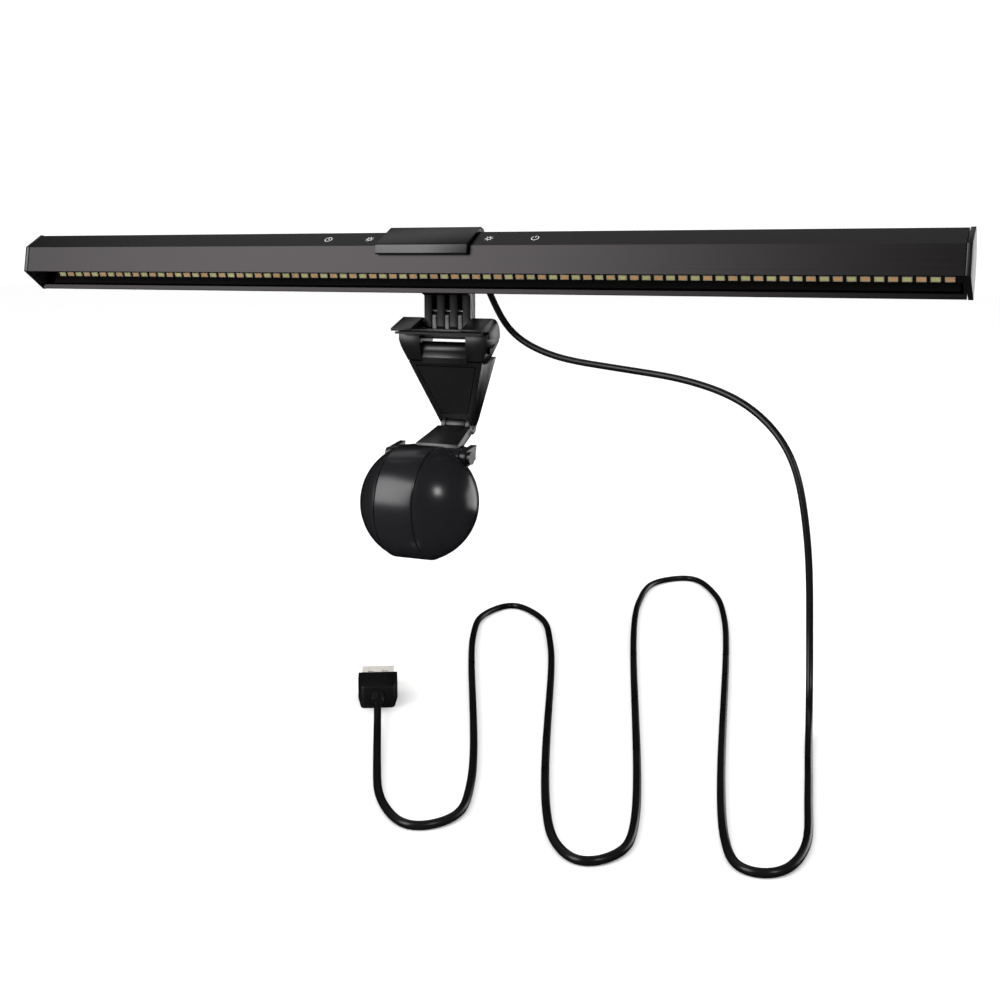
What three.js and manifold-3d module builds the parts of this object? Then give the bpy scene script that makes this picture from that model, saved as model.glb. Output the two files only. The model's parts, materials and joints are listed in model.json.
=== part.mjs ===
import * as THREE from "three";
import { mergeVertices } from "three/addons/utils/BufferGeometryUtils.js";
import Module from "manifold-3d";

// A monitor light bar, in millimetres. +X runs along the bar to the user's right, +Y away from the
// user and +Z up. The origin is on the underside of the clip's pad, which rests on the monitor's top
// edge. The bar is carried by a cap and a saddle on a tilt hinge; below the clip hang a lever, an arm
// and a round counterweight, which lean on the monitor's back.

const wasm = await Module();
wasm.setup();

// Clearances
const GAP = 0.3; // between neighbouring pieces
const PIN_GAP = 0.15; // round a pin, all the way

// The bar: its section is drawn from the front face's top edge, with Y backwards and Z up
const BAR_LENGTH = 400;
const BAR_PLACE = [0, -15.4, 34.7];
const WALL = 1.1;
const CAP_THICK = 1.7;
const CAP_PROUD = 0.25;
const FRONT_BOTTOM = [-1.8, -10.45];
const FRONT_TOP = [0, 0];
const BACK_TOP = [8.94, 5.2];
const BULGE = [13.2, -3.6];
const BACK_BOTTOM = [9.0, -18.4];
const LED_FACE = [8.4, -11.9];
const LED_TILT = THREE.MathUtils.degToRad(20); // the emitters look forward and this far down
const LED_THICK = 0.7;
const LED_BOARD_LEFT = -191;
const LED_BOARD_RIGHT = 196;
const TOUCH_X = [-45, -26, 26, 45];
const CONTROL_BOARD_HALF = 52;

// The bracket over the bar's middle, and the tilt hinge below it
const BRACKET_HALF = 19.8;
const POST_HALF = 10.3;
const TILT_AXIS = [7.15, 3.2];
const POST_HALF_DEPTH = 2.25;
const FINGER_WIDE = 3.4;
const FINGER_PITCH = (2 * POST_HALF - FINGER_WIDE) / 3;
const FINGER_GAP_TOP = 17.6;
const CLIP_FINGER_TOP = 8.7;
const TILT_PIN_R = 1.1;

// The clip
const SHELF_HALF = 20;
const EAR_INNER = 11.1;
const LUG_HALF = 19.6;
const LUG_INNER = 10.2;
const LUG_R = 5.1;
const LUG_FRONT = 0.4;
const SHELF_FRONT = -5.3;
const SHELF_UNDER = 1.2;
const PAD_THICK = SHELF_UNDER - GAP;
const LEVER_AXIS = [5.4, -6.5];
const LEVER_PIN_R = 1.25;

// The lever, the arm and the ball
const LEVER_TOP = [1.8, -9];
const LEVER_FOOT = [12, -35.7];
const LEVER_TOP_HALF = 17.3;
const LEVER_FOOT_HALF = 7.55;
const LEVER_WALL = 2.2;
const BARREL_HALF = LUG_INNER - GAP;
const BARREL_R = 3.25;
const ELBOW_AXIS = [14.8, -38.2];
const ELBOW_R = 3.4;
const ELBOW_TONGUE_HALF = 4.2;
const ELBOW_PIN_R = 1.2;
const PIVOT_AXIS = [-11, -47.2];
const PIVOT_R = 3.2;
const EAR_IN = 14.6;
const EAR_THICK = 2.6;
const BOSS_R = 3.6;
const BALL_CENTRE = [-19.2, -64.3];
const DOME_R = 23.2;
const BAND_R = 22.1;
const BAND_HALF = 8;
const SHELL_THICK = 2.6;
const WEIGHT_R = 14.8;
const WEIGHT_HALF = 11.6;

// The cord and its plug
const FLOOR = -131;
const CORD_R = 1.3;
const GLAND_PLACE = [14.8, -2.5, 26.2];
const GLAND_TILT_DOWN = THREE.MathUtils.degToRad(38);
const GLAND_TURN_RIGHT = THREE.MathUtils.degToRad(8);
const BOOT_LENGTH = 7;
const BOOT_BASE = 2.9;
const PLUG_PLACE = [11.6, -73.2, FLOOR + 3.9];
const PLUG_TURN = THREE.MathUtils.degToRad(29.7);
const NECK_LONG = 6;
const MOULD_LONG = 18;
const MOULD_WIDE = 14.4;
const MOULD_THICK = 7.8;
const SHELL_LONG = 12.4;
const SHELL_WIDE = 12;
const SHELL_HIGH = 4.5;

// ---------------------------------------------------------------------------------- shape helpers

const ALONG_X = new THREE.Matrix4().makeBasis(
  new THREE.Vector3(0, 1, 0),
  new THREE.Vector3(0, 0, 1),
  new THREE.Vector3(1, 0, 0),
);

function toSolid(geometry) {
  const loose = geometry.index ? geometry.toNonIndexed() : geometry.clone();
  loose.deleteAttribute("normal");
  loose.deleteAttribute("uv");
  const merged = mergeVertices(loose, 1e-4);
  const vertProperties = merged.getAttribute("position").array;
  const triVerts = new Uint32Array(merged.index.array);
  return new wasm.Manifold(new wasm.Mesh({ numProp: 3, vertProperties, triVerts }));
}

function toGeometry(solid) {
  const mesh = solid.getMesh();
  const geometry = new THREE.BufferGeometry();
  geometry.setAttribute("position", new THREE.BufferAttribute(mesh.vertProperties.slice(), 3));
  geometry.setIndex(new THREE.BufferAttribute(mesh.triVerts.slice(), 1));
  geometry.computeVertexNormals();
  return geometry;
}

function join(...pieces) {
  return toGeometry(pieces.map(toSolid).reduce((whole, piece) => whole.add(piece)));
}

function cut(body, ...tools) {
  return toGeometry(tools.map(toSolid).reduce((left, tool) => left.subtract(tool), toSolid(body)));
}

function common(a, b) {
  return toGeometry(toSolid(a).intersect(toSolid(b)));
}

function shapeOf(points) {
  return new THREE.Shape(points.map(([y, z]) => new THREE.Vector2(y, z)));
}

// A side profile, in Y and Z, made as wide as from left to right.
function alongX(shape, left, right) {
  const settings = { depth: right - left, bevelEnabled: false, curveSegments: 10 };
  const geometry = new THREE.ExtrudeGeometry(shape, settings);
  geometry.applyMatrix4(ALONG_X);
  return geometry.translate(left, 0, 0);
}

// A front view, in X and Z, made as deep as from front to back.
function alongY(points, front, back) {
  const shape = new THREE.Shape(points.map(([x, z]) => new THREE.Vector2(x, z)));
  const geometry = new THREE.ExtrudeGeometry(shape, { depth: back - front, bevelEnabled: false });
  geometry.rotateX(Math.PI / 2);
  return geometry.translate(0, back, 0);
}

function box(x0, x1, y0, y1, z0, z1) {
  const geometry = new THREE.BoxGeometry(x1 - x0, y1 - y0, z1 - z0);
  return geometry.translate((x0 + x1) / 2, (y0 + y1) / 2, (z0 + z1) / 2);
}

function rodX(radius, left, right, [y, z], sides = 24) {
  const geometry = new THREE.CylinderGeometry(radius, radius, right - left, sides);
  geometry.rotateZ(-Math.PI / 2);
  return geometry.translate((left + right) / 2, y, z);
}

function rodY(radius, front, back, x, z, sides = 20) {
  const geometry = new THREE.CylinderGeometry(radius, radius, back - front, sides);
  return geometry.translate(x, (front + back) / 2, z);
}

// A profile of [radius, distance along the axis] points turned round the X axis.
function turnedX(profile, [y, z], sides = 40) {
  const points = profile.map(([radius, along]) => new THREE.Vector2(radius, along));
  const geometry = new THREE.LatheGeometry(points, sides);
  geometry.rotateZ(-Math.PI / 2);
  return geometry.translate(0, y, z);
}

// The open line moved sideways: a positive distance moves it to the right of its own direction.
function offsetLine(points, distance) {
  const sides = points.slice(1).map(([y, z], i) => {
    const [dy, dz] = [y - points[i][0], z - points[i][1]];
    const length = Math.hypot(dy, dz);
    return [dz / length, -dy / length];
  });
  return points.map(([y, z], i) => {
    const before = sides[Math.max(i - 1, 0)];
    const after = sides[Math.min(i, sides.length - 1)];
    const share = distance / (1 + before[0] * after[0] + before[1] * after[1]);
    return [y + (before[0] + after[0]) * share, z + (before[1] + after[1]) * share];
  });
}

function add(group, name, geometry, material) {
  const mesh = new THREE.Mesh(geometry, material);
  mesh.name = name;
  group.add(mesh);
}

// -------------------------------------------------------------------------------------- materials

function finish(color, roughness, metalness) {
  return new THREE.MeshStandardMaterial({ color, roughness, metalness });
}

const ANODISED = finish(0x2b2829, 0.42, 0.85);
const BLACK_PLASTIC = finish(0x141313, 0.5, 0);
const GLOSS_PLASTIC = finish(0x0c0c0c, 0.18, 0);
const DARK_PLASTIC = finish(0x0d0d0d, 0.75, 0);
const BOARD = finish(0xd9d6cc, 0.55, 0);
const GREEN_BOARD = finish(0x1f4a33, 0.5, 0);
const STEEL = finish(0x9a9a9c, 0.3, 1);
const RUBBER = finish(0x161616, 0.85, 0);
const CORD_SKIN = finish(0x121212, 0.35, 0);
const PALE_METAL = finish(0xd8d2c2, 0.3, 0.9);
const WHITE_PLASTIC = finish(0xe6e4de, 0.5, 0);

// ---------------------------------------------------------------------------------------- the bar

// The outside of the bar from the front face's bottom edge, over the top and down the back.
function barOutside() {
  const path = new THREE.Path();
  path.moveTo(...FRONT_BOTTOM);
  path.lineTo(...FRONT_TOP);
  path.lineTo(...BACK_TOP);
  path.quadraticCurveTo(12.6, 2.6, ...BULGE);
  path.quadraticCurveTo(13.4, -12.6, ...BACK_BOTTOM);
  return path.getPoints(8).map(({ x, y }) => [x, y]);
}

// A folded wall with an opening between its bottom edges, and a bead along the rear one.
function barHousing() {
  const outside = barOutside();
  const inside = offsetLine(outside, WALL).slice(0, -2);
  const bead = [
    [7.7, -18.1],
    [7.8, -16.5],
    [8.8, -15.9],
  ];
  const outline = shapeOf([...outside, ...bead, ...inside.reverse()]);
  const half = BAR_LENGTH / 2 - CAP_THICK - GAP;
  const wall = alongX(outline, -half, half);
  const glandY = GLAND_PLACE[1] - BAR_PLACE[1];
  const glandZ = GLAND_PLACE[2] - BAR_PLACE[2];
  return cut(wall, rodY(2.4, glandY - 4, glandY + 4, GLAND_PLACE[0], glandZ));
}

function endCap(side) {
  const outer = BAR_LENGTH / 2;
  const inner = outer - CAP_THICK;
  const plate = shapeOf(offsetLine(barOutside(), -CAP_PROUD));
  const spigot = shapeOf([...offsetLine(barOutside(), WALL + GAP).slice(0, -3), [6.9, -16.4]]);
  const plateX = side < 0 ? [-outer, -inner] : [inner, outer];
  const spigotX = side < 0 ? [-inner - 0.5, -inner + 1.2] : [inner - 1.2, inner + 0.5];
  return join(alongX(plate, ...plateX), alongX(spigot, ...spigotX));
}

// The strip that carries the emitters, tilted so that they look forward and down.
function ledBoard() {
  const out = [-Math.cos(LED_TILT), -Math.sin(LED_TILT)];
  const down = [Math.sin(LED_TILT), -Math.cos(LED_TILT)];
  const at = (along, behind) => [
    LED_FACE[0] - out[0] * behind + down[0] * along,
    LED_FACE[1] - out[1] * behind + down[1] * along,
  ];
  const back = LED_THICK + 0.8;
  const outline = [at(-3.2, LED_THICK), at(1.3, LED_THICK), at(1.3, back), at(-3.2, back)];
  return alongX(shapeOf(outline), LED_BOARD_LEFT, LED_BOARD_RIGHT);
}

function reflector() {
  const outline = [
    [9.3, -13.6],
    [7.9, -15.9],
    [6.9, -15.6],
    [8.4, -13.2],
  ];
  return alongX(shapeOf(outline), LED_BOARD_LEFT, LED_BOARD_RIGHT);
}

function lightBaffle() {
  const outline = [
    [0.2, -9.6],
    [7.3, -8.4],
    [7.3, -7.6],
    [0.2, -8.8],
  ];
  return alongX(shapeOf(outline), LED_BOARD_LEFT, LED_BOARD_RIGHT);
}

function controlBoard() {
  const outline = [
    [2.4, -2.3],
    [8.6, 1.3],
    [9.1, 0.45],
    [2.9, -3.15],
  ];
  return alongX(shapeOf(outline), -CONTROL_BOARD_HALF, CONTROL_BOARD_HALF);
}

// A foam pad that carries a finger's touch from the bar's top face to the control board.
function touchPad(x) {
  const slope = Math.atan2(BACK_TOP[1], BACK_TOP[0]);
  const geometry = new THREE.CylinderGeometry(2.2, 2.2, 1.4, 20);
  geometry.rotateX(Math.PI / 2 + slope);
  return geometry.translate(x, 4.95, 0.45);
}

// The strain relief: a collar through the housing's back, a flange and a tapered boot.
function cableGland() {
  const collar = rodY(2.1, -1.9, 0.2, 0, 0);
  const flange = rodY(3.1, 0.5, 1.9, 0, 0);
  const neck = rodY(2.1, -0.2, BOOT_BASE, 0, 0);
  const bend = new THREE.SphereGeometry(2.5, 20, 12).translate(0, BOOT_BASE, 0);
  const boot = new THREE.CylinderGeometry(1.75, 2.5, BOOT_LENGTH, 20);
  boot.translate(0, BOOT_LENGTH / 2, 0);
  boot.rotateX(-GLAND_TILT_DOWN);
  boot.rotateZ(-GLAND_TURN_RIGHT);
  boot.translate(0, BOOT_BASE, 0);
  return join(collar, neck, flange, bend, boot).translate(...GLAND_PLACE);
}

// The boot's mouth, where the cord starts.
function glandMouth(beyond) {
  const reach = new THREE.Vector3(0, BOOT_LENGTH + beyond, 0);
  reach.applyAxisAngle(new THREE.Vector3(1, 0, 0), -GLAND_TILT_DOWN);
  reach.applyAxisAngle(new THREE.Vector3(0, 0, 1), -GLAND_TURN_RIGHT);
  return reach.add(new THREE.Vector3(0, BOOT_BASE, 0)).add(new THREE.Vector3(...GLAND_PLACE));
}

// The cap hooks over the bar's top from behind; its lip holds the front face.
function bracketCap() {
  const lipZ = -3.3;
  const lipY = (FRONT_BOTTOM[0] * lipZ) / FRONT_BOTTOM[1];
  const over = [[lipY, lipZ], ...barOutside().slice(1, 11)];
  const inside = offsetLine(over, -GAP);
  const outside = [
    [15.3, -3.2],
    [15.3, 3.4],
    [12.8, 6.5],
    [10.46, 7.19],
    [-1.5, 0.95],
    [-1.95, 0.35],
    [-2.4, lipZ + 0.5],
    [-2.0, lipZ],
  ];
  const body = alongX(shapeOf([...inside, ...outside]), -BRACKET_HALF, BRACKET_HALF);
  return cut(body, ...[-1, 1].map((side) => rodY(1.4, 12, 17, side * 6, 0.4)));
}

// The saddle backs the bar below the cap, and carries the hinge's four upper fingers.
function bracketSaddle() {
  const axis = [TILT_AXIS[0] - BAR_PLACE[1], TILT_AXIS[1] - BAR_PLACE[2]];
  const [front, back] = [axis[0] - POST_HALF_DEPTH, axis[0] + POST_HALF_DEPTH];
  const rear = offsetLine(barOutside(), -GAP).slice(11, 16);
  const shape = new THREE.Shape();
  shape.moveTo(15.6, 4.2);
  shape.lineTo(15.6, -3.5);
  rear.forEach((point) => shape.lineTo(...point));
  shape.lineTo(13.4, -17.2);
  shape.lineTo(front, -19.5);
  shape.lineTo(front, axis[1]);
  shape.absarc(...axis, POST_HALF_DEPTH, Math.PI, 2 * Math.PI, false);
  shape.lineTo(back, -9.5);
  shape.lineTo(19.2, 1.8);
  shape.lineTo(17.6, 4.2);
  const body = alongX(shape, -POST_HALF, POST_HALF);
  const openTop = CLIP_FINGER_TOP + 0.4 - BAR_PLACE[2];
  const gapTop = FINGER_GAP_TOP - BAR_PLACE[2];
  const gapHalf = (FINGER_PITCH - FINGER_WIDE) / 2;
  const gaps = [-1, 0, 1].flatMap((i) => {
    const [left, right] = [i * FINGER_PITCH - gapHalf, i * FINGER_PITCH + gapHalf];
    return [
      box(left, right, front - 1, back + 1, axis[1] - 4, openTop),
      box(left, right, front - 1, back - 0.9, openTop - 0.5, gapTop),
    ];
  });
  const hole = rodX(TILT_PIN_R + PIN_GAP, -POST_HALF - 1, POST_HALF + 1, axis);
  const screwHoles = [-1, 1].flatMap((side) => [
    rodY(1.4, 15, 22, side * 6, 0.4),
    rodY(2.4, 18.6, 26, side * 6, 0.4),
  ]);
  return cut(body, ...gaps, hole, ...screwHoles);
}

// A screw sunk in the saddle's back, which holds the cap's rear leg.
function saddleScrew(side) {
  const head = rodY(2.1, 18.9, 20.1, side * 6, 0.4);
  const shank = rodY(1.1, 13.9, 19, side * 6, 0.4);
  return join(head, shank);
}

// --------------------------------------------------------------------------------------- the clip

// One ear of the shelf, seen from the side.
function earShape() {
  const shape = new THREE.Shape();
  shape.moveTo(SHELF_FRONT, SHELF_UNDER);
  shape.lineTo(SHELF_FRONT - 0.3, SHELF_UNDER + 0.6);
  shape.lineTo(SHELF_FRONT, 2.3);
  shape.lineTo(5.0, 6.35);
  shape.absarc(5.4, -0.3, 6.5, Math.PI / 2, 0, true);
  shape.lineTo(11.9, SHELF_UNDER - 3);
  shape.lineTo(1.6, SHELF_UNDER - 3);
  shape.lineTo(1.6, SHELF_UNDER);
  return shape;
}

// The lug lies in the plane of the lever's front and sides, and its lower end is round about the
// lever's axis.
function lug(side) {
  const shape = new THREE.Shape();
  shape.moveTo(LUG_FRONT, 0);
  shape.lineTo(LUG_FRONT, -5.34);
  shape.lineTo(...leverFace(-10.67));
  shape.absarc(...LEVER_AXIS, LUG_R, (235 / 180) * Math.PI, (349 / 180) * Math.PI, false);
  shape.lineTo(11.9, -3.2);
  shape.lineTo(11.9, 0);
  const span = side < 0 ? [-LUG_HALF, -LUG_INNER] : [LUG_INNER, LUG_HALF];
  return common(alongX(shape, ...span), alongY(leverFront(2, -14, 0), -2, 20));
}

function clipShelf() {
  const pieces = [-1, 1].flatMap((side) => {
    const ear = side < 0 ? [-SHELF_HALF, -EAR_INNER] : [EAR_INNER, SHELF_HALF];
    return [alongX(earShape(), ...ear), lug(side)];
  });
  const web = box(-EAR_INNER - 1, EAR_INNER + 1, SHELF_FRONT, 4.4, SHELF_UNDER, 2.0);
  const riser = box(-EAR_INNER - 1, EAR_INNER + 1, 3.2, 4.4, -2.1, 2.0);
  const beam = box(-EAR_INNER - 1, EAR_INNER + 1, 3.2, 9.9, -2.1, 0.5);
  const fingers = [-1, 0, 1].map((i) => clipFinger(i * FINGER_PITCH));
  const body = join(...pieces, web, riser, beam, ...fingers);
  const tiltHole = rodX(TILT_PIN_R + PIN_GAP, -14.3, 14.3, TILT_AXIS);
  const leverHole = rodX(LEVER_PIN_R + PIN_GAP, -SHELF_HALF - 1, SHELF_HALF + 1, LEVER_AXIS);
  return cut(body, tiltHole, leverHole);
}

// A lower finger of the tilt hinge, which stands between two upper ones.
function clipFinger(x) {
  const half = (FINGER_PITCH - FINGER_WIDE) / 2 - GAP;
  const [front, back] = [TILT_AXIS[0] - POST_HALF_DEPTH, TILT_AXIS[0] + POST_HALF_DEPTH];
  const shape = new THREE.Shape();
  shape.moveTo(front, 0);
  shape.lineTo(back, 0);
  shape.lineTo(back, CLIP_FINGER_TOP - POST_HALF_DEPTH);
  shape.absarc(TILT_AXIS[0], CLIP_FINGER_TOP - POST_HALF_DEPTH, POST_HALF_DEPTH, 0, Math.PI, false);
  return alongX(shape, x - half, x + half);
}

// -------------------------------------------------------------------------------------- the lever

// How far the lever's side reaches from the middle at a height, less an inset.
function leverHalf(z, inset = 0) {
  const share = (z - LEVER_TOP[1]) / (LEVER_FOOT[1] - LEVER_TOP[1]);
  return LEVER_TOP_HALF + (LEVER_FOOT_HALF - LEVER_TOP_HALF) * share - inset;
}

function leverFront(top, bottom, inset) {
  const [a, b] = [leverHalf(top, inset), leverHalf(bottom, inset)];
  return [
    [-a, top],
    [-b, bottom],
    [b, bottom],
    [a, top],
  ];
}

// A point of the lever's front face at a height, moved back by a depth.
function leverFace(z, depth = 0) {
  const share = (z - LEVER_TOP[1]) / (LEVER_FOOT[1] - LEVER_TOP[1]);
  return [LEVER_TOP[0] + (LEVER_FOOT[0] - LEVER_TOP[0]) * share + depth, z];
}

function lever() {
  const side = shapeOf([
    leverFace(-9.6),
    leverFace(-36.4),
    [13.6, -38.2],
    [17.9, -38.2],
    [18.2, -36],
    [14.4, -9.4],
    [10.8, -11],
    [7.9, -11.95],
    [5.4, -11.6],
    [4.6, -9.6],
  ]);
  const channel = shapeOf([
    leverFace(-9, LEVER_WALL),
    leverFace(-34.5, LEVER_WALL),
    [21, -34.5],
    [21, -9],
  ]);
  const shell = common(alongX(side, -20, 20), alongY(leverFront(-8, -40, 0), 0, 22));
  const hollow = common(
    alongX(channel, -20, 20),
    alongY(leverFront(-8, -40, LEVER_WALL), 0, 22),
  );
  const knuckles = rodX(ELBOW_R, -leverHalf(-38.2) + 0.2, leverHalf(-38.2) - 0.2, ELBOW_AXIS, 32);
  const barrel = rodX(BARREL_R, -BARREL_HALF, BARREL_HALF, LEVER_AXIS, 32);
  const neck = box(-BARREL_HALF, BARREL_HALF, 2.25, 4.8, -12, LEVER_AXIS[1]);
  const slotHalf = ELBOW_TONGUE_HALF + GAP;
  const slot = box(-slotHalf, slotHalf, 10.6, 22, -43, -34.5);
  const pocketSide = [leverFace(-13, -1), leverFace(-33, -1), leverFace(-33, 1.15), leverFace(-13, 1.15)];
  const pocket = common(
    alongX(shapeOf(pocketSide), -20, 20),
    alongY(leverFront(-13, -33, 2.4), -1, 22),
  );
  const elbowHole = rodX(ELBOW_PIN_R + PIN_GAP, -9, 9, ELBOW_AXIS);
  const leverHole = rodX(LEVER_PIN_R + PIN_GAP, -10, 10, LEVER_AXIS);
  const lugRooms = [-1, 1].map((side) => {
    const span = side < 0 ? [-21, -BARREL_HALF] : [BARREL_HALF, 21];
    return rodX(LUG_R + GAP + 0.05, ...span, LEVER_AXIS, 48);
  });
  const body = join(cut(shell, hollow, ...lugRooms), knuckles, barrel, neck);
  return cut(body, slot, pocket, elbowHole, leverHole);
}

function leverPad() {
  const [top, bottom] = [-13 - GAP, -33 + GAP];
  const side = [leverFace(top), leverFace(bottom), leverFace(bottom, 0.8), leverFace(top, 0.8)];
  const front = alongY(leverFront(top, bottom, 2.4 + GAP), -1, 22);
  return common(alongX(shapeOf(side), -20, 20), front);
}

// ---------------------------------------------------------------------------------------- the arm

// A column whose outline from above is these points on the right, mirrored on the left.
function planOf(points) {
  const left = points.map(([x, y]) => [-x, y]).reverse();
  const plan = new THREE.Shape([...points, ...left].map(([x, y]) => new THREE.Vector2(x, y)));
  const column = new THREE.ExtrudeGeometry(plan, { depth: 20, bevelEnabled: false });
  return column.translate(0, 0, -54);
}

// Seen from above, the arm widens a little from the elbow, then spreads to the ears of the ball.
function arm() {
  const plateShape = shapeOf([
    [10.7, -37.9],
    [-4.6, -43.2],
    [-5.3, -46.3],
    [-2.0, -46.5],
    [9.6, -42.1],
    [11.2, -41.4],
  ]);
  const linkShape = shapeOf([
    [1, -43.9],
    [-5, -44.7],
    [-8, -44.7],
    [-8, -50],
    [1, -46],
  ]);
  const earOuter = EAR_IN + EAR_THICK;
  const plate = common(alongX(plateShape, -20, 20), planOf([[7.4, 12], [8.1, 5], [9.6, -6]]));
  const link = common(
    alongX(linkShape, -20, 20),
    planOf([[9, 0], [earOuter, -4.5], [earOuter, -7.6], [9, -6.5]]),
  );
  const ballRoom = new THREE.SphereGeometry(DOME_R + 0.5, 48, 32).translate(0, ...BALL_CENTRE);
  const tongue = rodX(ELBOW_R, -ELBOW_TONGUE_HALF, ELBOW_TONGUE_HALF, ELBOW_AXIS, 32);
  const tongueNeck = alongX(
    shapeOf([
      [14.8, -41.5],
      [9, -41.9],
      [9, -38.6],
      [14.8, -36.4],
    ]),
    -ELBOW_TONGUE_HALF,
    ELBOW_TONGUE_HALF,
  );
  const sides = [-1, 1].flatMap((side) => {
    const span = side < 0 ? [-earOuter, -EAR_IN] : [EAR_IN, earOuter];
    const cheek = shapeOf([
      [PIVOT_AXIS[0], PIVOT_AXIS[1] + PIVOT_R],
      [PIVOT_AXIS[0], PIVOT_AXIS[1] - PIVOT_R],
      [-4.5, -46.4],
      [-3.6, -42.9],
    ]);
    return [alongX(cheek, ...span), rodX(PIVOT_R, ...span, PIVOT_AXIS, 32)];
  });
  const body = join(plate, cut(link, ballRoom), tongue, tongueNeck, ...sides);
  const elbowHole = rodX(ELBOW_PIN_R + PIN_GAP, -9, 9, ELBOW_AXIS);
  const pivotHole = rodX(1.2 + PIN_GAP, -22, 22, PIVOT_AXIS);
  return cut(body, elbowHole, pivotHole);
}

// A shouldered screw through an ear of the arm into the ball's boss.
function pivotScrew(side) {
  const ear = EAR_IN + EAR_THICK;
  const head = [ear + GAP, ear + GAP + 1.2];
  const shank = [12.2, ear + GAP + 0.2];
  const mirrored = ([a, b]) => (side < 0 ? [-b, -a] : [a, b]);
  return join(rodX(2.5, ...mirrored(head), PIVOT_AXIS), rodX(1.2, ...mirrored(shank), PIVOT_AXIS));
}

// --------------------------------------------------------------------------------------- the ball

function ballBand() {
  const inner = 19.2;
  const profile = [
    [inner, -BAND_HALF],
    [BAND_R - 0.4, -BAND_HALF],
    [BAND_R, -BAND_HALF + 0.4],
    [BAND_R, BAND_HALF - 0.4],
    [BAND_R - 0.4, BAND_HALF],
    [inner, BAND_HALF],
    [inner, -BAND_HALF],
  ];
  return turnedX(profile, BALL_CENTRE, 56);
}

// A hollow cap of the ball, with a spigot that centres in the band and a boss for the pivot.
function ballDome(side) {
  const start = BAND_HALF + GAP;
  const inside = DOME_R - SHELL_THICK;
  const bend = (radius, steps) => {
    const first = Math.asin(start / radius);
    return Array.from({ length: steps + 1 }, (_, i) => {
      const angle = first + ((Math.PI / 2 - first) * i) / steps;
      return [i === steps ? 0 : radius * Math.cos(angle), radius * Math.sin(angle)];
    });
  };
  const spigot = [
    [17.4, start],
    [17.4, start - 3],
    [18.9, start - 3],
    [18.9, start],
  ];
  const profile = [...bend(inside, 9).reverse(), ...spigot, ...bend(DOME_R, 10)];
  const dome = turnedX(profile, BALL_CENTRE, 44);
  const boss = rodX(BOSS_R, start + 0.4, EAR_IN - GAP, PIVOT_AXIS, 32);
  const hole = rodX(1.2 + PIN_GAP, 11.9, 20, PIVOT_AXIS);
  const seat = rodX(BOSS_R + 0.3, EAR_IN - GAP, 24, PIVOT_AXIS, 32);
  const right = cut(join(dome, boss), hole, seat);
  return side < 0 ? mirrorX(right) : right;
}

// The mirror image in X, with each face turned round again so that it still looks outward.
function mirrorX(geometry) {
  const flat = geometry.index ? geometry.toNonIndexed() : geometry.clone();
  const position = flat.getAttribute("position");
  for (let i = 0; i < position.count; i += 3) {
    const corners = [0, 1, 2].map((k) => new THREE.Vector3().fromBufferAttribute(position, i + k));
    corners.reverse().forEach(({ x, y, z }, k) => position.setXYZ(i + k, -x, y, z));
  }
  return flat;
}

// ---------------------------------------------------------------------------------------- the cord

// From the boot it drops behind the bar, swings out to the right, hangs down to the surface below and
// lies there in five runs joined by four bends, as far as the plug.
function cordPoints() {
  const lie = FLOOR + CORD_R;
  const plugEnd = plugPoint(-GAP);
  return [
    glandMouth(GAP).toArray(),
    glandMouth(2.5).toArray(),
    [18.6, 11.3, 10],
    [24.6, 12.2, 0.4],
    [42, 11.6, -7.9],
    [72, 10.6, -12.1],
    [100, 7, -15.4],
    [124, 0.4, -22.8],
    [141, -6.3, -38],
    [148.5, -9.7, -66],
    [150.6, -10.5, -103],
    [153.1, -20, -124.5],
    [159, -48, lie],
    [167.6, -88.4, lie],
    [174.2, -124, lie],
    [171, -141.5, lie],
    [161.5, -143, lie],
    [152.5, -125.5, lie],
    [90.9, 96.1, lie],
    [73, 141.5, lie],
    [53.5, 167, lie],
    [41.2, 153, lie],
    [46.5, 108, lie],
    [126.6, -127, lie],
    [129.8, -146, lie],
    [122, -157, lie],
    [110, -146.5, lie],
    [35.8, 27.7, lie],
    [15, 66, lie],
    [-6, 81.3, lie],
    [-10.5, 60, lie],
    [0, 28, lie],
    [71.6, -120.5, lie],
    [78.4, -145, lie],
    [70, -156, lie],
    [52, -141.5, lie],
    [40, -122.5, lie],
    [22, -91.3, lie + 1.2],
    plugEnd,
  ].map((point) => new THREE.Vector3(...point));
}

// Steps follow the points instead of the length, so that the bends get as many as the long runs. The
// cord never sinks into the surface it lies on.
class CordCurve extends THREE.CatmullRomCurve3 {
  getUtoTmapping(u) {
    return u;
  }

  getPoint(t, target) {
    const point = super.getPoint(t, target);
    point.z = Math.max(point.z, FLOOR + CORD_R + 0.05);
    return point;
  }
}

function cordTube() {
  const points = cordPoints();
  const path = new CordCurve(points, false, "centripetal");
  const section = new THREE.Shape();
  section.absarc(0, 0, CORD_R, 0, 2 * Math.PI);
  const steps = (points.length - 1) * 2;
  return new THREE.ExtrudeGeometry(section, { steps, extrudePath: path, curveSegments: 4 });
}

// A point on the plug's middle line, so far along from the end where the cord enters.
function plugPoint(along) {
  const reach = new THREE.Vector3(0, along, 0).applyAxisAngle(new THREE.Vector3(0, 0, 1), PLUG_TURN);
  return reach.add(new THREE.Vector3(...PLUG_PLACE)).toArray();
}

function plugNeck() {
  const neck = new THREE.CylinderGeometry(2.7, 1.9, NECK_LONG, 20);
  return neck.translate(0, NECK_LONG / 2, 0);
}

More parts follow.
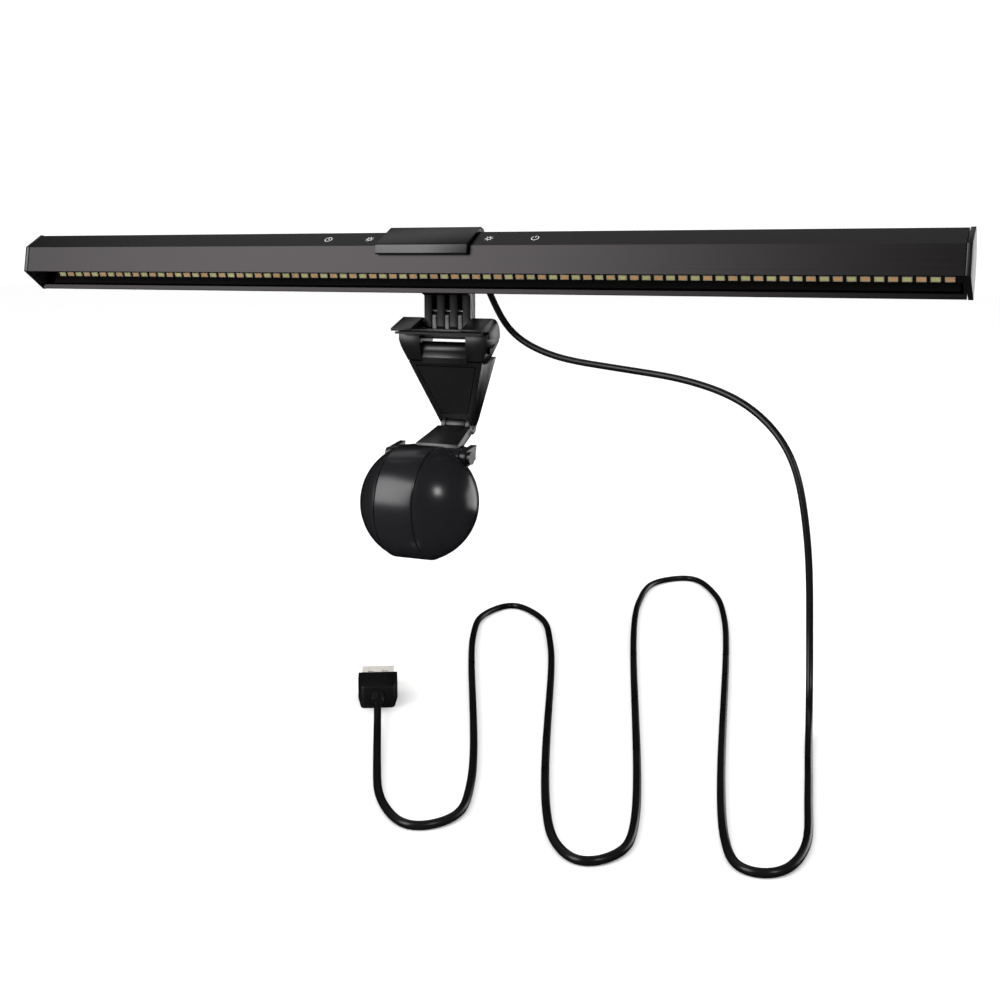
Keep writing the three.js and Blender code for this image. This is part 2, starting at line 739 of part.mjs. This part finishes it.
function plugMould() {
  const start = NECK_LONG + GAP;
  const [narrow, wide] = [MOULD_WIDE / 2 - 1.2, MOULD_WIDE / 2];
  const outline = new THREE.Shape();
  outline.moveTo(-narrow + 1.5, start);
  outline.lineTo(narrow - 1.5, start);
  outline.quadraticCurveTo(narrow, start, narrow + 0.2, start + 2);
  outline.lineTo(wide, start + MOULD_LONG * 0.6);
  outline.lineTo(wide, start + MOULD_LONG);
  outline.lineTo(-wide, start + MOULD_LONG);
  outline.lineTo(-wide, start + MOULD_LONG * 0.6);
  outline.lineTo(-narrow - 0.2, start + 2);
  outline.quadraticCurveTo(-narrow, start, -narrow + 1.5, start);
  const settings = { depth: MOULD_THICK, bevelEnabled: false, curveSegments: 5 };
  return new THREE.ExtrudeGeometry(outline, settings).translate(0, 0, -MOULD_THICK / 2);
}

function plugShell() {
  const start = NECK_LONG + MOULD_LONG + 2 * GAP;
  const [w, h, thick] = [SHELL_WIDE / 2, SHELL_HIGH / 2, 0.35];
  const tube = box(-w, w, start, start + SHELL_LONG, -h, h);
  const bore = box(-w + thick, w - thick, start + 1, start + SHELL_LONG + 1, -h + thick, h - thick);
  const holes = [-1, 1].map((side) => {
    const x = side * 2.6;
    return box(x - 1.15, x + 1.15, start + 5, start + 7.3, -h - 1, h + 1);
  });
  return cut(tube, bore, ...holes);
}

function plugTongue() {
  const start = NECK_LONG + MOULD_LONG + 2 * GAP + 1 + GAP;
  const half = SHELL_WIDE / 2 - 0.35 - GAP;
  return box(-half, half, start, start + SHELL_LONG - 2.2, 0, SHELL_HIGH / 2 - 0.35 - GAP);
}

// ------------------------------------------------------------------------------------ the assembly

const lightBar = new THREE.Group();

const bar = new THREE.Group();
bar.position.set(...BAR_PLACE);
add(bar, "bar_housing", barHousing(), ANODISED);
add(bar, "end_cap_left", endCap(-1), BLACK_PLASTIC);
add(bar, "end_cap_right", endCap(1), BLACK_PLASTIC);
add(bar, "led_board", ledBoard(), BOARD);
add(bar, "reflector", reflector(), DARK_PLASTIC);
add(bar, "light_baffle", lightBaffle(), DARK_PLASTIC);
add(bar, "control_board", controlBoard(), GREEN_BOARD);
TOUCH_X.forEach((x, i) => add(bar, `touch_pad_${i + 1}`, touchPad(x), RUBBER));
add(bar, "bracket_cap", bracketCap(), BLACK_PLASTIC);
add(bar, "bracket_saddle", bracketSaddle(), BLACK_PLASTIC);
add(bar, "saddle_screw_left", saddleScrew(-1), STEEL);
add(bar, "saddle_screw_right", saddleScrew(1), STEEL);
lightBar.add(bar);
add(lightBar, "cable_gland", cableGland(), RUBBER);

add(lightBar, "clip_shelf", clipShelf(), BLACK_PLASTIC);
add(lightBar, "shelf_pad", box(-18.6, 18.6, -4.6, 0.1, 0, PAD_THICK), RUBBER);
add(lightBar, "tilt_pin", rodX(TILT_PIN_R, -14, 14, TILT_AXIS), STEEL);
add(lightBar, "lever_pin", rodX(LEVER_PIN_R, -LUG_HALF + GAP, LUG_HALF - GAP, LEVER_AXIS), STEEL);

add(lightBar, "lever", lever(), BLACK_PLASTIC);
add(lightBar, "lever_pad", leverPad(), RUBBER);
add(lightBar, "elbow_pin", rodX(ELBOW_PIN_R, -6.3, 6.3, ELBOW_AXIS), STEEL);

add(lightBar, "arm", arm(), BLACK_PLASTIC);
add(lightBar, "pivot_screw_left", pivotScrew(-1), STEEL);
add(lightBar, "pivot_screw_right", pivotScrew(1), STEEL);

add(lightBar, "ball_band", ballBand(), GLOSS_PLASTIC);
add(lightBar, "ball_dome_left", ballDome(-1), GLOSS_PLASTIC);
add(lightBar, "ball_dome_right", ballDome(1), GLOSS_PLASTIC);
add(lightBar, "counterweight", rodX(WEIGHT_R, -WEIGHT_HALF, WEIGHT_HALF, BALL_CENTRE, 36), STEEL);

add(lightBar, "cord", cordTube(), CORD_SKIN);
const plug = new THREE.Group();
plug.position.set(...PLUG_PLACE);
plug.rotation.z = PLUG_TURN;
add(plug, "plug_strain_relief", plugNeck(), RUBBER);
add(plug, "plug_overmould", plugMould(), RUBBER);
add(plug, "plug_shell", plugShell(), PALE_METAL);
add(plug, "plug_tongue", plugTongue(), WHITE_PLASTIC);
lightBar.add(plug);

export default lightBar;
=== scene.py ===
"""A monitor light bar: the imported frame, with its looks and its lead.

A pale floor, soft light and a camera stand round it.
"""

import json
import math

import bmesh
import bpy
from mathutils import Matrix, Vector

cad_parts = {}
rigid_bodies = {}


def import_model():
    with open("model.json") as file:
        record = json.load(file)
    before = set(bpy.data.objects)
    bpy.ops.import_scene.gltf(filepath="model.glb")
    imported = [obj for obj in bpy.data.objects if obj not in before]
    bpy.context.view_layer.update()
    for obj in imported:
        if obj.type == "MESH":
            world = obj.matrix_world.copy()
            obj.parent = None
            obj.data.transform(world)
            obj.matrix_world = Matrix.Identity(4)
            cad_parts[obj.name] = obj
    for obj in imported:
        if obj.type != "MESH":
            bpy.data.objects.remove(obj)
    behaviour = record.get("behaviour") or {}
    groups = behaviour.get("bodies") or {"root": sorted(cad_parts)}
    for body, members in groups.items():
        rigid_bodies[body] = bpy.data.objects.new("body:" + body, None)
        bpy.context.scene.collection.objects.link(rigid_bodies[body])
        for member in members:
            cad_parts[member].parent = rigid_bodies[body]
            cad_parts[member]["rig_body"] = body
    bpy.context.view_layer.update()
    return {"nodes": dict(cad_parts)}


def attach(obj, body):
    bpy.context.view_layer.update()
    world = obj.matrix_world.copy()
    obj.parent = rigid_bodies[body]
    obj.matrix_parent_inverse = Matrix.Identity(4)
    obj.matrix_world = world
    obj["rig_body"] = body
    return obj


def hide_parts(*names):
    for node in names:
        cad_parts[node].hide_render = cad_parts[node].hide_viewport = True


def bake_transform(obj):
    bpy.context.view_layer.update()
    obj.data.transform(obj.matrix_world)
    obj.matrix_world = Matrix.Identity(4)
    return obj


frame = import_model()

MM = 0.001
BAR_Y, BAR_Z = -15.4, 34.7  # the front face's top edge, in mm
TOP_RUN, TOP_RISE = 8.94, 5.2  # the top face's depth and its rise towards the back, in mm
FLOOR_Z = -0.131


# ---------------------------------------------------------------------------------- materials


def new_material(name, color, roughness, metallic=0.0):
    """A Principled material, with its nodes, its links and its shader."""
    material = bpy.data.materials.new(name)
    material.use_nodes = True
    nodes, links = material.node_tree.nodes, material.node_tree.links
    shader = nodes["Principled BSDF"]
    shader.inputs["Base Color"].default_value = (*color, 1)
    shader.inputs["Roughness"].default_value = roughness
    shader.inputs["Metallic"].default_value = metallic
    return material, nodes, links, shader


def stretched(nodes, links, scale):
    """Object coordinates with their own scale for each axis."""
    where = nodes.new("ShaderNodeTexCoord")
    mapping = nodes.new("ShaderNodeMapping")
    mapping.inputs["Scale"].default_value = scale
    links.new(where.outputs["Object"], mapping.inputs["Vector"])
    return mapping.outputs["Vector"]


def noise(nodes, links, vector, scale, detail):
    """Noise of so many patches in a metre, with so many finer layers."""
    texture = nodes.new("ShaderNodeTexNoise")
    texture.inputs["Scale"].default_value = scale
    texture.inputs["Detail"].default_value = detail
    links.new(vector, texture.inputs["Vector"])
    return texture.outputs["Fac"]


def ranged(nodes, links, value, low, high):
    """The value, usually from 0.3 to 0.7, spread from low to high."""
    spread = nodes.new("ShaderNodeMapRange")
    spread.inputs["From Min"].default_value = 0.3
    spread.inputs["From Max"].default_value = 0.7
    spread.inputs["To Min"].default_value = low
    spread.inputs["To Max"].default_value = high
    links.new(value, spread.inputs["Value"])
    return spread.outputs["Result"]


def tinted(nodes, links, value, dark, light, shader):
    """The base colour, between two tones as the value changes."""
    ramp = nodes.new("ShaderNodeValToRGB")
    ramp.color_ramp.elements[0].position = 0.3
    ramp.color_ramp.elements[1].position = 0.7
    ramp.color_ramp.elements[0].color = (*dark, 1)
    ramp.color_ramp.elements[1].color = (*light, 1)
    links.new(value, ramp.inputs["Fac"])
    links.new(ramp.outputs["Color"], shader.inputs["Base Color"])


def bumped(nodes, links, value, distance, strength, shader):
    """A relief of so many metres that follows the value."""
    bump = nodes.new("ShaderNodeBump")
    bump.inputs["Distance"].default_value = distance
    bump.inputs["Strength"].default_value = strength
    links.new(value, bump.inputs["Height"])
    links.new(bump.outputs["Normal"], shader.inputs["Normal"])


def grained_metal(name, dark, light, roughness, scale, metallic=1.0):
    """Metal with a fine grain along X."""
    material, nodes, links, shader = new_material(name, light, roughness[0], metallic)
    grain = noise(nodes, links, stretched(nodes, links, scale), 1.0, 6)
    tinted(nodes, links, grain, dark, light, shader)
    links.new(ranged(nodes, links, grain, *roughness), shader.inputs["Roughness"])
    bumped(nodes, links, grain, 0.00002, 0.35, shader)
    return material


def moulded(name, dark, light, roughness, grain_size=0.00035, relief=0.00001, sheen=0.5):
    """Moulded plastic or rubber: a fine texture, and a slow change of sheen from place to place."""
    material, nodes, links, shader = new_material(name, light, roughness[0])
    shader.inputs["Specular IOR Level"].default_value = sheen
    where = stretched(nodes, links, (1, 1, 1))
    cloud = noise(nodes, links, where, 60, 5)
    tinted(nodes, links, cloud, dark, light, shader)
    links.new(ranged(nodes, links, cloud, *roughness), shader.inputs["Roughness"])
    bumped(nodes, links, noise(nodes, links, where, 1 / grain_size, 2), relief, 0.5, shader)
    return material


GRAIN = (6, 7000, 7000)  # long streaks along X
FINE = (900, 900, 900)
ANODISED = grained_metal(
    "anodised", (0.036, 0.033, 0.034), (0.043, 0.04, 0.041), (0.36, 0.42), GRAIN
)
SATIN_BLACK = moulded(
    "satin_black", (0.0036, 0.0033, 0.0038), (0.0055, 0.005, 0.0058), (0.3, 0.38), sheen=0.62
)
GLOSS_BLACK = moulded(
    "gloss_black", (0.0085, 0.0082, 0.0098), (0.0105, 0.01, 0.0118), (0.22, 0.27), 0.002, 0.000003
)
DULL_BLACK = moulded(
    "dull_black", (0.002, 0.002, 0.002), (0.003, 0.003, 0.003), (0.7, 0.85), sheen=0.15
)
BOARD_BLACK = moulded(
    "board_black", (0.005, 0.005, 0.005), (0.008, 0.008, 0.008), (0.45, 0.55), sheen=0.3
)
BOARD_GREEN = moulded("board_green", (0.01, 0.06, 0.035), (0.02, 0.09, 0.05), (0.4, 0.5))
RUBBER = moulded(
    "rubber", (0.0035, 0.0033, 0.0036), (0.0055, 0.0052, 0.0056), (0.42, 0.52), sheen=0.35
)
JACKET = moulded(
    "jacket", (0.0035, 0.0033, 0.0035), (0.006, 0.0057, 0.006), (0.26, 0.34), 0.0012, 0.000008, 0.35
)
STEEL = grained_metal("steel", (0.3, 0.3, 0.31), (0.42, 0.42, 0.43), (0.26, 0.36), FINE)
BLACKENED = grained_metal(
    "blackened", (0.012, 0.012, 0.013), (0.02, 0.02, 0.021), (0.4, 0.5), FINE
)
PLATED = grained_metal(
    "plated", (0.78, 0.75, 0.68), (0.86, 0.83, 0.77), (0.35, 0.43), (400, 400, 400), 0.35
)
WHITE = moulded("white_plastic", (0.72, 0.71, 0.68), (0.8, 0.79, 0.76), (0.4, 0.5))
PACKAGE = moulded("led_package", (0.26, 0.23, 0.16), (0.33, 0.29, 0.21), (0.45, 0.55))
WARM = moulded("phosphor_warm", (0.42, 0.21, 0.07), (0.52, 0.27, 0.1), (0.35, 0.45))
COOL = moulded("phosphor_cool", (0.33, 0.34, 0.12), (0.42, 0.42, 0.16), (0.35, 0.45))
PRINT = moulded("print_white", (0.6, 0.6, 0.6), (0.7, 0.7, 0.7), (0.5, 0.6))


# ------------------------------------------------------------------------------------- meshes


def new_object(name, verts, faces, material, smooth_angle=None):
    """A mesh in the scene, flat shaded unless an angle is given."""
    mesh = bpy.data.meshes.new(name)
    mesh.from_pydata(verts, [], faces)
    mesh.materials.append(material)
    mesh.validate()
    obj = bpy.data.objects.new(name, mesh)
    bpy.context.scene.collection.objects.link(obj)
    if smooth_angle is not None:
        shade(obj, smooth_angle)
    return obj


def shade(obj, angle):
    """Smooth shading, except across edges sharper than the angle."""
    mesh = obj.data
    mesh.polygons.foreach_set("use_smooth", [True] * len(mesh.polygons))
    mesh.set_sharp_from_angle(angle=math.radians(angle))


def apply_modifiers(obj):
    """The shape that the modifiers give becomes the mesh."""
    bpy.context.view_layer.update()
    shaped = obj.evaluated_get(bpy.context.evaluated_depsgraph_get())
    done = bpy.data.meshes.new_from_object(shaped)
    obj.modifiers.clear()
    obj.data = done


def refined(node, material, width=0.25, segments=2, angle=28):
    """A copy of a CAD piece with its edges rounded, which stands for it."""
    source = frame["nodes"][node]
    obj = bpy.data.objects.new(node + "_look", source.data.copy())
    bpy.context.scene.collection.objects.link(obj)
    obj.data.materials.clear()
    obj.data.materials.append(material)
    shape = bmesh.new()
    shape.from_mesh(obj.data)
    bmesh.ops.remove_doubles(shape, verts=shape.verts, dist=2e-6)
    flat = math.radians(1.5)
    bmesh.ops.dissolve_limit(shape, angle_limit=flat, verts=shape.verts, edges=shape.edges)
    shape.to_mesh(obj.data)
    shape.free()
    if "custom_normal" in obj.data.attributes:
        obj.data.attributes.remove(obj.data.attributes["custom_normal"])
    bevel = obj.modifiers.new("round", "BEVEL")
    bevel.width = width * MM
    bevel.segments = segments
    bevel.limit_method = "ANGLE"
    bevel.angle_limit = math.radians(angle)
    apply_modifiers(obj)
    shade(obj, 38)
    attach(obj, source["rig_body"])
    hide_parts(node)
    return obj


def repaint(node, material):
    """A CAD node that keeps its shape gets its material."""
    data = frame["nodes"][node].data
    data.materials.clear()
    data.materials.append(material)


# ------------------------------------------------------------------------------------- camera


def make_camera():
    data = bpy.data.cameras.new("camera")
    data.lens = 48.3
    data.sensor_width = 36
    data.shift_y = -0.0768
    data.clip_start = 0.01
    camera = bpy.data.objects.new("camera", data)
    camera.location = (0.2455, -0.473, 0.0298)
    camera.rotation_euler = (math.radians(83), 0, math.radians(24.94))
    bpy.context.scene.collection.objects.link(camera)
    bpy.context.scene.camera = camera


make_camera()


# --------------------------------------------------------------------------------------- cord

CORD_R = 1.3
LIE = FLOOR_Z / MM + CORD_R
CORD_POINTS = [
    (15.61, 5.9, 21.7),
    (15.85, 7.6, 20.35),
    (18.6, 11.3, 10),
    (24.6, 12.2, 0.4),
    (42, 11.6, -7.9),
    (72, 10.6, -12.1),
    (100, 7, -15.4),
    (124, 0.4, -22.8),
    (141, -6.3, -38),
    (148.5, -9.7, -66),
    (150.6, -10.5, -103),
    (153.1, -20, -124.5),
    (159, -48, LIE),
    (167.6, -88.4, LIE),
    (174.2, -124, LIE),
    (171, -141.5, LIE),
    (161.5, -143, LIE),
    (152.5, -125.5, LIE),
    (90.9, 96.1, LIE),
    (73, 141.5, LIE),
    (53.5, 167, LIE),
    (41.2, 153, LIE),
    (46.5, 108, LIE),
    (126.6, -127, LIE),
    (129.8, -146, LIE),
    (122, -157, LIE),
    (110, -146.5, LIE),
    (35.8, 27.7, LIE),
    (15, 66, LIE),
    (-6, 81.3, LIE),
    (-10.5, 60, LIE),
    (0, 28, LIE),
    (71.6, -120.5, LIE),
    (78.4, -145, LIE),
    (70, -156, LIE),
    (52, -141.5, LIE),
    (40, -122.5, LIE),
    (22, -91.3, LIE + 1.2),
    (11.75, -73.46, -127.1),
]


def smooth_line(points, step):
    """A centripetal Catmull-Rom line through the points, with points about a step apart."""
    points = [Vector(p) for p in points]
    ends = [points[0] * 2 - points[1], *points, points[-1] * 2 - points[-2]]
    line = []
    for i in range(1, len(ends) - 2):
        p0, p1, p2, p3 = ends[i - 1 : i + 3]
        k1 = (p1 - p0).length ** 0.5
        k2 = k1 + (p2 - p1).length ** 0.5
        k3 = k2 + (p3 - p2).length ** 0.5
        count = max(2, round((p2 - p1).length / step))
        for j in range(count):
            t = k1 + (k2 - k1) * j / count
            a1 = p0 * (k1 - t) / k1 + p1 * t / k1
            a2 = p1 * (k2 - t) / (k2 - k1) + p2 * (t - k1) / (k2 - k1)
            a3 = p2 * (k3 - t) / (k3 - k2) + p3 * (t - k2) / (k3 - k2)
            b1 = a1 * (k2 - t) / k2 + a2 * t / k2
            b2 = a2 * (k3 - t) / (k3 - k1) + a3 * (t - k1) / (k3 - k1)
            point = b1 * (k2 - t) / (k2 - k1) + b2 * (t - k1) / (k2 - k1)
            point.z = max(point.z, LIE + 0.05)
            line.append(point * MM)
    return [*line, points[-1] * MM]


def relaxed(line, rounds):
    """The line with its small changes of bend evened out, and its two ends where they were."""
    for _ in range(rounds):
        middle = [(a + 2 * b + c) / 4 for a, b, c in zip(line, line[1:], line[2:])]
        line = [line[0], *middle, line[-1]]
    return line


def tube(name, line, radius, sides, material):
    """A closed tube along a line, with no twist."""
    verts, faces = [], []
    side = Vector((1, 0, 0))
    for i, point in enumerate(line):
        along = (line[min(i + 1, len(line) - 1)] - line[max(i - 1, 0)]).normalized()
        side = (side - along * side.dot(along)).normalized()
        up = along.cross(side)
        for k in range(sides):
            angle = 2 * math.pi * k / sides
            verts.append(point + (side * math.cos(angle) + up * math.sin(angle)) * radius)
    for i in range(len(line) - 1):
        for k in range(sides):
            a, b = i * sides + k, i * sides + (k + 1) % sides
            faces.append((a, b, b + sides, a + sides))
    faces.append(tuple(reversed(range(sides))))
    faces.append(tuple(range((len(line) - 1) * sides, len(line) * sides)))
    return new_object(name, verts, faces, material, 50)


cord_line = relaxed(smooth_line(CORD_POINTS, 2.0), 24)
cord = tube("cord_look", cord_line, CORD_R * MM, 14, JACKET)
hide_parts("cord")
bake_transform(cord)


# ---------------------------------------------------------------------------- bar and bracket


def bar_point(x, y, z):
    """A point given from the front face's top edge, in mm."""
    return Vector((x, y + BAR_Y, z + BAR_Z)) * MM


LED_PITCH = 4.577
LED_COUNT = 84
LED_FIRST = -187.4  # the leftmost emitter's middle, in X
LED_FACE = (8.4, -11.9)  # where the emitters look out, in Y and Z
LED_TILT = math.radians(20)
# Half width, half height and height above the board, from the foot to the sunken window, in mm
LED_LOOPS = [
    (1.65, 0.95, 0),
    (1.65, 0.95, 0.5),
    (1.56, 0.86, 0.62),
    (1.36, 0.7, 0.62),
    (1.3, 0.64, 0.54),
]


def make_leds():
    """The row of emitters: a pale package with a phosphor window in each, warm and cool in turn."""
    out = Vector((0, -math.cos(LED_TILT), -math.sin(LED_TILT)))
    down = Vector((0, math.sin(LED_TILT), -math.cos(LED_TILT)))
    right = Vector((1, 0, 0))
    verts, faces, slots = [], [], []
    for i in range(LED_COUNT):
        base = bar_point(LED_FIRST + i * LED_PITCH, *LED_FACE) - out * 0.68 * MM
        start = len(verts)
        for half_wide, half_tall, high in LED_LOOPS:
            for sx, sz in ((-1, -1), (1, -1), (1, 1), (-1, 1)):
                corner = right * sx * half_wide - down * sz * half_tall + out * high
                verts.append(base + corner * MM)
        for ring in range(len(LED_LOOPS) - 1):
            for k in range(4):
                a, b = start + ring * 4 + k, start + ring * 4 + (k + 1) % 4
                faces.append((a, b, b + 4, a + 4))
                slots.append(0)
        last = start + (len(LED_LOOPS) - 1) * 4
        faces.append((last, last + 1, last + 2, last + 3))
        slots.append(1 + (i + 1) % 2)
    leds = new_object("leds", verts, faces, PACKAGE)
    leds.data.materials.append(WARM)
    leds.data.materials.append(COOL)
    leds.data.polygons.foreach_set("material_index", slots)
    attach(leds, "bar")


make_leds()


MARK_X = (-45, -26, 26, 45)
MARK_BACK = 5.2  # how far the signs' middles lie behind the top face's front edge
HAIR = 0.03


def top_point(x, along):
    """A point a hair above the bar's sloping top face, so far back from its front edge."""
    slope = math.atan2(TOP_RISE, TOP_RUN)
    back, up = math.cos(slope), math.sin(slope)
    return bar_point(x, along * back - HAIR * up, along * up + HAIR * back)


def make_marks():
    """Printed signs over the touch pads: a clock, two suns and an open ring with a stroke."""
    verts, faces = [], []

    def patch(outline):
        start = len(verts)
        verts.extend(top_point(x, along) for x, along in outline)
        faces.append(tuple(range(start, start + len(outline))))

    def arc(x, radius, start_turn, end_turn, wide):
        steps = 20
        turns = [start_turn + (end_turn - start_turn) * i / steps for i in range(steps + 1)]
        for a, b in zip(turns, turns[1:]):
            corners = [(a, radius), (a, radius + wide), (b, radius + wide), (b, radius)]
            patch([
                (x + r * math.sin(math.tau * t), MARK_BACK + r * math.cos(math.tau * t))
                for t, r in corners
            ])

    def stroke(x0, a0, x1, a1, wide):
        along = Vector((x1 - x0, a1 - a0)).normalized() * wide / 2
        side = Vector((along.y, -along.x))
        a, b = Vector((x0, a0)), Vector((x1, a1))
        patch([tuple(a - side), tuple(b - side), tuple(b + side), tuple(a + side)])

    clock, dim, bright, power = MARK_X
    arc(clock, 1.35, 0, 1, 0.3)
    stroke(clock, MARK_BACK, clock, MARK_BACK + 0.9, 0.28)
    stroke(clock, MARK_BACK, clock + 0.7, MARK_BACK, 0.28)
    for sun in (dim, bright):
        arc(sun, 0.75, 0, 1, 0.3)
        for i in range(8):
            turn = math.tau * i / 8
            across, back = math.sin(turn), math.cos(turn)
            near = (sun + 1.35 * across, MARK_BACK + 1.35 * back)
            far = (sun + 1.75 * across, MARK_BACK + 1.75 * back)
            stroke(*near, *far, 0.24)
    arc(power, 1.25, 0.1, 0.9, 0.3)
    stroke(power, MARK_BACK + 0.4, power, MARK_BACK + 1.7, 0.3)
    marks = new_object("marks", verts, faces, PRINT)
    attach(marks, "bar")


make_marks()

repaint("bar_housing", ANODISED)
for name in ("reflector", "light_baffle"):
    repaint(name, DULL_BLACK)
repaint("led_board", BOARD_BLACK)
repaint("control_board", BOARD_GREEN)
for name in (*(f"touch_pad_{i}" for i in range(1, 5)), "shelf_pad", "lever_pad", "cable_gland"):
    repaint(name, RUBBER)
repaint("counterweight", STEEL)
for name in ("tilt_pin", "lever_pin", "elbow_pin", "saddle_screw_left", "saddle_screw_right"):
    repaint(name, BLACKENED)
for name in ("pivot_screw_left", "pivot_screw_right"):
    repaint(name, SATIN_BLACK)
for name in ("end_cap_left", "end_cap_right", "bracket_saddle", "clip_shelf", "lever", "arm"):
    refined(name, SATIN_BLACK)
refined("bracket_cap", SATIN_BLACK, 0.4, 3)
for name in ("ball_band", "ball_dome_left", "ball_dome_right"):
    refined(name, GLOSS_BLACK, 0.15)
repaint("plug_strain_relief", JACKET)
overmould = refined("plug_overmould", SATIN_BLACK, 1.4, 4, 20)
repaint("plug_shell", PLATED)
repaint("plug_tongue", WHITE)


# ------------------------------------------------------------------------------ floor and light


PALE = new_material("floor", (0.97, 0.97, 0.97), 0.9)[0]


def make_floor():
    """A pale floor, and a bright card behind on the right, which only the glossy blacks mirror."""
    corners = [(-6, -6, FLOOR_Z), (6, -6, FLOOR_Z), (6, 6, FLOOR_Z), (-6, 6, FLOOR_Z)]
    pale, _, _, _ = new_material("floor", (0.97, 0.97, 0.97), 0.9)
    floor = new_object("floor", corners, [(0, 1, 2, 3)], pale)
    floor.visible_glossy = False
    glowing, _, _, shader = new_material("card", (0, 0, 0), 1)
    shader.inputs["Emission Color"].default_value = (1, 1, 1, 1)
    shader.inputs["Emission Strength"].default_value = 2.2
    corners = [(0.35, 2.2, -0.6), (2.6, 2.2, -0.6), (2.6, 2.2, 0.35), (0.35, 2.2, 0.35)]
    card = new_object("card", corners, [(0, 1, 2, 3)], glowing)
    card.visible_camera = False
    card.visible_diffuse = False
    card.visible_shadow = False


def soft_light(name, place, target, size, power):
    """A white softbox at a place, turned to a target."""
    data = bpy.data.lights.new(name, "AREA")
    data.shape = "RECTANGLE"
    data.size, data.size_y = size
    data.energy = power
    light = bpy.data.objects.new(name, data)
    light.location = place
    light.rotation_euler = (Vector(target) - Vector(place)).to_track_quat("-Z", "Y").to_euler()
    bpy.context.scene.collection.objects.link(light)


def make_studio():
    world = bpy.data.worlds.new("studio")
    world.use_nodes = True
    world.node_tree.nodes["Background"].inputs["Color"].default_value = (1, 1, 1, 1)
    world.node_tree.nodes["Background"].inputs["Strength"].default_value = 1.12
    world.cycles_visibility.glossy = False
    bpy.context.scene.world = world
    bpy.context.scene.view_settings.view_transform = "Standard"
    soft_light("key", (-0.75, -1.05, 0.5), (0, 0, -0.02), (0.9, 1.1), 16)
    soft_light("side", (1.1, -0.5, 0.55), (0, 0, -0.03), (0.25, 0.25), 3.2)
    soft_light("top", (-0.6, 0.95, 1.6), (-0.1, 0, 0), (2.0, 1.1), 4)


make_floor()
make_studio()
